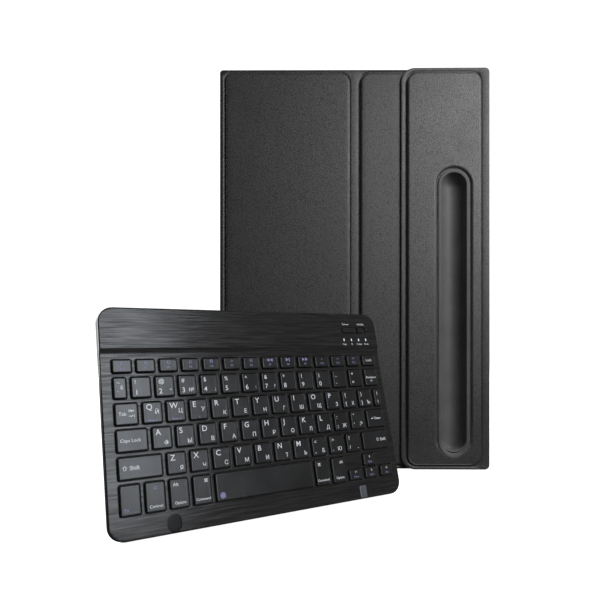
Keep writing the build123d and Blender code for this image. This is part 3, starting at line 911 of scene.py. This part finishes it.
def deck(finish):
    """The keyboard's top case, with a hole for each key and a raised head bar."""
    outline = rounded(0, board_width, 0, board_depth, DECK_CORNER, DECK_CORNER)
    edge = rings(
        outline,
        [(1.0, -DECK), (0.15, -DECK), (0.03, -DECK + 0.05), (0.0, -DECK + 0.2), (0.0, -0.5),
         (0.04, -0.3), (0.15, -0.13), (0.34, -0.03), (0.6, 0.0), (1.2, 0.0)],
    )
    hole_profile = [(-0.5, 0.0), (-0.3, 0.0), (-0.16, -0.03), (-0.04, -0.13), (0.0, -0.3), (0.0, -DECK)]
    holes = []
    for node in key_nodes().values():
        for left, right, low, high in rectangles(node):
            hole = rounded(
                left - KEY_HOLE, right + KEY_HOLE, low - KEY_HOLE, high + KEY_HOLE,
                KEY_CORNER + KEY_HOLE, KEY_CORNER + KEY_HOLE, steps=4,
            )
            holes.append(rings(hole, hole_profile))
    half = (SLOT[3] - SLOT[2]) / 2
    pits = [
        rings(
            rounded(*SLOT, half, half),
            [(-0.6, 0.0), (-0.3, 0.0), (-0.12, -0.02), (0.0, -0.1), (0.0, -0.8)],
        )
    ]
    for slit in slits():
        pits.append(rings(slit, [(-0.3, 0.0), (-0.06, 0.0), (0.0, -0.03), (0.0, -0.25)]))
    bm = panel(edge, holes=holes, pits=pits)
    foot, brow = HEAD_STEP
    cut(bm, "v", [foot - 0.3, *spaced(foot, brow, 14), brow + 0.12, brow + 0.4])
    for vertex in bm.verts:
        share = (vertex.co.z + DECK) / DECK
        rise = min(1.0, max(0.0, (vertex.co.y - foot) / (brow - foot))) ** HEAD_CURVE
        vertex.co.z += HEAD_RISE * rise * share
    made = piece("keyboard_deck", bm, board, finish)
    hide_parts("keyboard_top_case")
    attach(made, "keyboard")


def key_caps(finish):
    """Every key's cap, with tapered sides, a rounded rim and a shallow dish."""
    profile = [
        (0.5, KEY_FOOT),
        (0.0, KEY_FOOT),
        (0.0, 0.1),
        (0.05, 0.75),
        (0.14, 1.08),
        (0.3, 1.28),
        (0.52, KEY_TOP - 0.02),
        (0.75, KEY_TOP),
        (1.3, KEY_TOP - 0.02),
        (1.8, KEY_TOP - 0.03),
        (2.2, KEY_TOP - 0.03),
    ]
    for body, node in key_nodes().items():
        bm = bmesh.new()
        for left, right, low, high in rectangles(node):
            outline = rounded(left, right, low, high, KEY_CORNER, KEY_CORNER, steps=5)
            made_rings = lay(bm, rings(outline, profile))
            fill(bm, made_rings[0])
            fill(bm, made_rings[-1])
        made = piece(f"cap_{node[4:]}", bm, board, finish)
        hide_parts(node)
        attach(made, body)


# Legends: each is (text, place on the key, size). A place is a letter across (l, c, r) and one
# up (t, T, m, l, B, b, L, from high to low). A legend that starts with ~ is printed in lilac.
LETTER, SMALL, DIGIT, WORD = 4.1, 3.1, 3.7, 2.35
MARGIN = (1.6, 2.7)


def pairs(latin, cyrillic):
    """Letter keys: a Latin letter at the upper left and a Cyrillic one at the lower right."""
    return [[(a, "lt", LETTER), (b, "rb", SMALL)] for a, b in zip(latin, cyrillic)]


def mode_keys(*entries):
    """Letter keys that also have a lilac word below, which moves the Cyrillic letter up."""
    return [
        [(a, "lt", LETTER), (b, "rm", SMALL), ("~" + word, "cL", 1.5)] for a, b, word in entries
    ]


def number_legends():
    symbols = [("!", ""), ("@", '"'), ("#", "№"), ("$", ";"), ("%", ""), ("^", ":"),
               ("&", "?"), ("*", ""), ("(", ""), (")", "")]
    made = []
    for i, (symbol, third) in enumerate(symbols):
        entry = [(symbol, "lt", 3.0), (str((i + 1) % 10), "lb", DIGIT)]
        made.append(entry + ([(third, "rb", 2.7)] if third else []))
    return made + [[("_", "lt", 3.0), ("-", "lb", SMALL)], [("+", "lt", 3.0), ("=", "lb", SMALL)]]


def function_legends():
    icons = ["☼", "☀", "⌂", "◎", "⌕", "▣", "◀◀", "▶❙", "▶▶", "◂", "◂-", "◂+"]
    return [[("~" + icon, "cT", 2.3), (f"~F{i + 1}", "cB", 1.75)] for i, icon in enumerate(icons)]


def punctuation(*entries):
    """Keys with a mark above, one below it and a Cyrillic letter at the right."""
    return [[(a, "lt", 2.9), (b, "lb", 2.9), (c, "rb", SMALL)] for a, b, c in entries]


LEGENDS = {
    "key_escape": [[("~⌂", "cT", 2.2), ("~Esc", "cB", 1.7)]],
    "key_function_row": function_legends(),
    "key_lock": [[("Lock", "cm", WORD)]],
    "key_grave": [[("~", "lt", 2.6), ("`", "lb", 3.0), ("ё", "rm", 2.7)]],
    "key_number_row": number_legends(),
    "key_backspace": [[("Backspace", "cm", 1.9), ("←", "cl", 2.6)]],
    "key_tab": [[("Tab", "lm", 2.5), ("⇤", "rT", 3.2), ("⇥", "rB", 3.2)]],
    "key_top_letter_row": mode_keys(("Q", "Й", "Mode A"), ("W", "Ц", "Mode B"), ("E", "У", "C"))
    + pairs("RTYUIOP", "КЕНГШЩЗ")
    + punctuation(("{", "[", "Х"), ("}", "]", "Ъ")),
    "key_backslash": [[("|", "ct", 2.6), ("\\", "cb", 2.8)]],
    "key_caps_lock": [[("Caps Lock", "lm", WORD)]],
    "key_home_row": pairs("ASDFGHJKL", "ФЫВАПРОЛД")
    + punctuation((":", ";", "Ж"), ('"', "'", "Э")),
    "key_enter": [[("↵ Enter", "cm", 2.2)]],
    "key_left_shift": [[("⇧ Shift", "lm", 2.8)]],
    "key_low_letter_row": pairs("ZXCVBNM", "ЯЧСМИТЬ")
    + punctuation(("<", ",", "Б"), (">", ".", "Ю"), ("?", "/", ".")),
    "key_right_shift": [[("⇧ Shift", "rm", 2.5)]],
    "key_fn": [[("~Fn", "lb", WORD)]],
    "key_control": [[("~⌂", "ct", 2.2), ("Control", "cb", 2.0)]],
    "key_left_option": [[("Alt", "lt", WORD), ("Option", "cb", 1.95)]],
    "key_left_command": [[("⌘", "rt", 2.4), ("Command", "cb", 1.85)]],
    "key_space": [[("~◉", "lb", 4.0)]],
    "key_right_command": [[("⌘", "lt", 2.4), ("Command", "cb", 1.85)]],
    "key_right_option": [[("alt", "rt", WORD), ("Option", "cb", 1.95)]],
    "key_left_arrow": [[("←", "cT", 2.0), ("~Home", "cB", 1.5)]],
    "key_up_arrow": [[("↑", "cT", 2.0), ("~PgUp", "cB", 1.5)]],
    "key_down_arrow": [[("↓", "cT", 2.0), ("~PgDn", "cB", 1.5)]],
    "key_right_arrow": [[("→", "cT", 2.0), ("~End", "cB", 1.5)]],
}


def spot(key, place):
    """Where a legend goes on a key, and how it is aligned."""
    left, right, low, high = key
    across = {
        "l": (left + MARGIN[0], "LEFT"),
        "c": ((left + right) / 2, "CENTER"),
        "r": (right - MARGIN[0], "RIGHT"),
    }
    middle = (low + high) / 2
    up = {
        "t": high - MARGIN[1],
        "m": middle,
        "b": low + MARGIN[1],
        "l": middle - 2.3,
        "T": middle + 1.35,
        "B": middle - 1.3,
        "L": low + 1.35,
    }
    x, align = across[place[0]]
    return x, up[place[1]], align


def lettering(name, body, entries, height, finishes):
    """Thin printed legends on a keyboard surface. Each entry is (text, x, y, align, size)."""
    bm = bmesh.new()
    for text, x, y, align, size in entries:
        lilac = text.startswith("~") and len(text) > 1
        curve = bpy.data.curves.new("legend", "FONT")
        curve.body = text[1:] if lilac else text
        curve.align_x, curve.align_y = align, "CENTER"
        curve.size = size
        curve.offset = 0.004 * size
        curve.extrude = 0.02
        curve.resolution_u = 3
        letter = bpy.data.objects.new("legend", curve)
        bpy.context.scene.collection.objects.link(letter)
        graph = bpy.context.evaluated_depsgraph_get()
        mesh = bpy.data.meshes.new_from_object(letter.evaluated_get(graph))
        mesh.transform(Matrix.Translation((x, y, height)))
        for face in mesh.polygons:
            face.material_index = 1 if lilac else 0
        bm.from_mesh(mesh)
        bpy.data.objects.remove(letter)
        bpy.data.meshes.remove(mesh)
        bpy.data.curves.remove(curve)
    made = piece(name, bm, board, *finishes)
    for face in made.data.polygons:
        face.use_smooth = False
    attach(made, body)


def legends(finishes):
    """Generic key legends, and the words round the switch."""
    for body, node in key_nodes().items():
        entries = []
        for key, marks in zip(rectangles(node), LEGENDS[node]):
            for text, place, size in marks:
                x, y, align = spot(key, place)
                entries.append((text, x, y, align, size))
        lettering(f"legend_{node[4:]}", body, entries, KEY_TOP - 0.02, finishes)
    above = (SLOT[2] + SLOT[3]) / 2 + 3.9
    words = [("Connect", SLOT[0] + 3.8, above, "CENTER", 1.5),
             ("OFF/ON", SLOT[1] - 4.2, above, "CENTER", 1.5)]
    for i, word in enumerate(("Caps", "✱", "Charge", "Power")):
        words.append((word, LED_FIRST + LED_PITCH * i, LED_UP - 2.8, "CENTER", 1.45))
    lettering("legend_switches", "keyboard", words, HEAD_RISE + 0.005, finishes)


def indicators(finish):
    """The light windows of the four indicators, each in its slit in the head bar."""
    bm = bmesh.new()
    for slit in slits():
        made_rings = lay(bm, rings(slit, [(0.02, 1.0), (0.02, 1.16), (0.06, 1.19), (0.15, 1.2)]))
        fill(bm, made_rings[0])
        fill(bm, made_rings[-1])
    made = piece("indicator_lights", bm, board, finish)
    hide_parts("indicator_windows")
    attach(made, "keyboard")


def finger_pads(finishes):
    """The two small pads on the front margin: one rubber in two tones, the left pad's near black a
    painted dark reflection and the right pad's grey a painted bright reflection.
    """
    profile = [(0.4, -0.2), (0.0, -0.2), (0.0, 0.03), (0.1, 0.1), (0.35, 0.13), (1.0, 0.14)]
    for (name, (left, right, top, radius)), finish in zip(FINGER_PADS.items(), finishes):
        outline = rounded(left, right, 0.6, top, radius, radius)
        bm = bmesh.new()
        made_rings = lay(bm, rings(outline, profile))
        fill(bm, made_rings[0])
        fill(bm, made_rings[-1])
        made = piece(name, bm, board, finish)
        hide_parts("finger_pads")
        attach(made, "keyboard")


# ================================================================================ build it all
front_cover()
pen_flap()
pen_trough(moulded("trough_plastic", 0.14, 0.58, 1500, 0.02))
rear_cover()

deck(brushed_black(turn_of_board))
key_caps(moulded("key_plastic", 0.022, 0.25, 2200, 0.012, blue=-0.1, level=0.24))
legends([ink("white_ink", (0.8, 0.8, 0.79)), ink("lilac_ink", (0.22, 0.22, 0.40))])
indicators(lens("indicator", (0.85, 0.87, 0.9), 0.2))
finger_pads([
    # the same rubber twice: near black paints the left pad's dark reflection, grey paints the right
    # pad's bright reflection
    moulded("pad_painted_dark_reflection", 0.006, 0.3, 1200, 0.01, level=0.1),
    moulded("pad_painted_bright_reflection", 0.085, 0.3, 1200, 0.01, blue=0.1),
])

NODE_FINISHES = (
    (moulded("tray_rubber", 0.03, 0.55, 900, 0.03),
     "tablet_tray", "tray_power_button", "tray_volume_button"),
    (moulded("bezel_gloss", 0.02, 0.12, 500, 0.004), "camera_bezel"),
    (moulded("shell_plastic", 0.022, 0.45, 1600, 0.03), "keyboard_bottom_case"),
    (moulded("foot_rubber", 0.025, 0.7, 1200, 0.03), "rubber_feet"),
    (moulded("switch_plastic", 0.016, 0.3, 1500, 0.01, level=0.25), "power_switch", "connect_button"),
    (moulded("membrane_film", 0.012, 0.6, 900, 0.01), "key_membrane"),
    (moulded("board_grey", 0.3, 0.8, 700, 0.05), "cover_board_left", "cover_board_right",
     "pen_flap_board", "spine_board", "rear_lower_board", "rear_upper_board"),
    (moulded("cell_foil", 0.5, 0.35, 300, 0.02), "battery"),
    (moulded("lacquered_board", 0.05, 0.3, 500, 0.01), "circuit_board"),
    (metal("magnet_steel", 0.6, 0.3), "keyboard_magnets", "closure_magnets"),
    (metal("plate_steel", 0.5, 0.35), "key_base_plate", "charging_port"),
    (metal("screw_steel", 0.25, 0.3), "case_screws"),
)
for finish, *names in NODE_FINISHES:
    for name in names:
        node_mesh = frame["nodes"][name].data
        node_mesh.materials.clear()
        node_mesh.materials.append(finish)


# ============================================================================ stage and camera
def emitting(name, colour, strength):
    """A plain pale surface that also glows a little, so that it stays white."""
    made = Finish(name, colour, 0.9, Specular_IOR_Level=0.1, Emission_Strength=strength)
    made.set(made.surface, {"Emission Color": (*colour, 1)})
    return made.material


def stage():
    bpy.ops.mesh.primitive_plane_add(size=8, location=(0, 0, -0.0002))
    floor = bpy.context.object
    floor.name = "floor"
    floor.data.materials.append(emitting("pale_floor", (0.98, 0.98, 0.98), 1.02))
    floor.visible_diffuse = False
    floor.visible_glossy = False

    world = bpy.data.worlds.new("studio")
    bpy.context.scene.world = world
    world.use_nodes = True
    tree = world.node_tree
    tree.nodes.clear()
    seen, ambient = (tree.nodes.new("ShaderNodeBackground") for _ in range(2))
    for background, strength in ((seen, 1.2), (ambient, 0.04)):
        background.inputs["Color"].default_value = (1, 1, 1, 1)
        background.inputs["Strength"].default_value = strength
    path = tree.nodes.new("ShaderNodeLightPath")
    mixed = tree.nodes.new("ShaderNodeMixShader")
    output = tree.nodes.new("ShaderNodeOutputWorld")
    tree.links.new(path.outputs["Is Camera Ray"], mixed.inputs[0])
    tree.links.new(ambient.outputs[0], mixed.inputs[1])
    tree.links.new(seen.outputs[0], mixed.inputs[2])
    tree.links.new(mixed.outputs[0], output.inputs["Surface"])


def softbox(name, place, target, size, energy, colour=(1, 1, 1)):
    light = bpy.data.lights.new(name, "AREA")
    light.shape = "RECTANGLE"
    light.size, light.size_y = size
    light.energy = energy
    light.color = colour
    made = bpy.data.objects.new(name, light)
    made.location = place
    made.rotation_euler = (Vector(target) - Vector(place)).to_track_quat("-Z", "Y").to_euler()
    bpy.context.scene.collection.objects.link(made)
    return made


def aim_lights(case_light, board_light):
    """The case and the keyboard are lit apart, each by its own light."""
    bodies = frame["record"]["behaviour"]["bodies"]
    on_board = [b for b in bodies if b.startswith("key")] + ["power_switch", "connect_button"]
    pieces = [frame["nodes"][node] for b in on_board for node in bodies[b]]
    pieces += [o for o in bpy.context.scene.objects if o.get("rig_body") in on_board]
    for light, state in ((case_light, "EXCLUDE"), (board_light, "INCLUDE")):
        group = bpy.data.collections.new(f"{light.name}_reach")
        light.light_linking.receiver_collection = group
        for made in set(pieces):
            group.objects.link(made)
        for member in group.collection_objects:
            member.light_linking.link_state = state


def camera():
    data = bpy.data.cameras.new("camera")
    data.sensor_width = 36.0
    data.lens = 33.34
    data.shift_y = 0.0667
    data.clip_start = 0.01
    made = bpy.data.objects.new("camera", data)
    made.location = (-0.0400, -0.4120, 0.0951)
    made.rotation_euler = (radians(90), 0, 0)
    bpy.context.scene.collection.objects.link(made)
    bpy.context.scene.camera = made


stage()
key_light = softbox("key_light", (0.42, -0.43, 0.45), (0.03, 0, 0.2), (0.28, 0.28), 2.95)
board_light = softbox(
    "board_light", (0.478, -0.887, 0.5), (-0.05, -0.1, 0.05), (0.46, 0.62), 10.0, (0.9, 0.96, 1.04)
)
softbox("side_light", (1.1, 0.6, 0.6), (0.1, 0.1, 0.15), (0.8, 0.8), 8)
softbox("back_light", (-0.9, 0.9, 0.7), (0, 0.1, 0.15), (1.6, 1.6), 24)
aim_lights(key_light, board_light)
camera()
bpy.context.scene.view_settings.view_transform = "Standard"
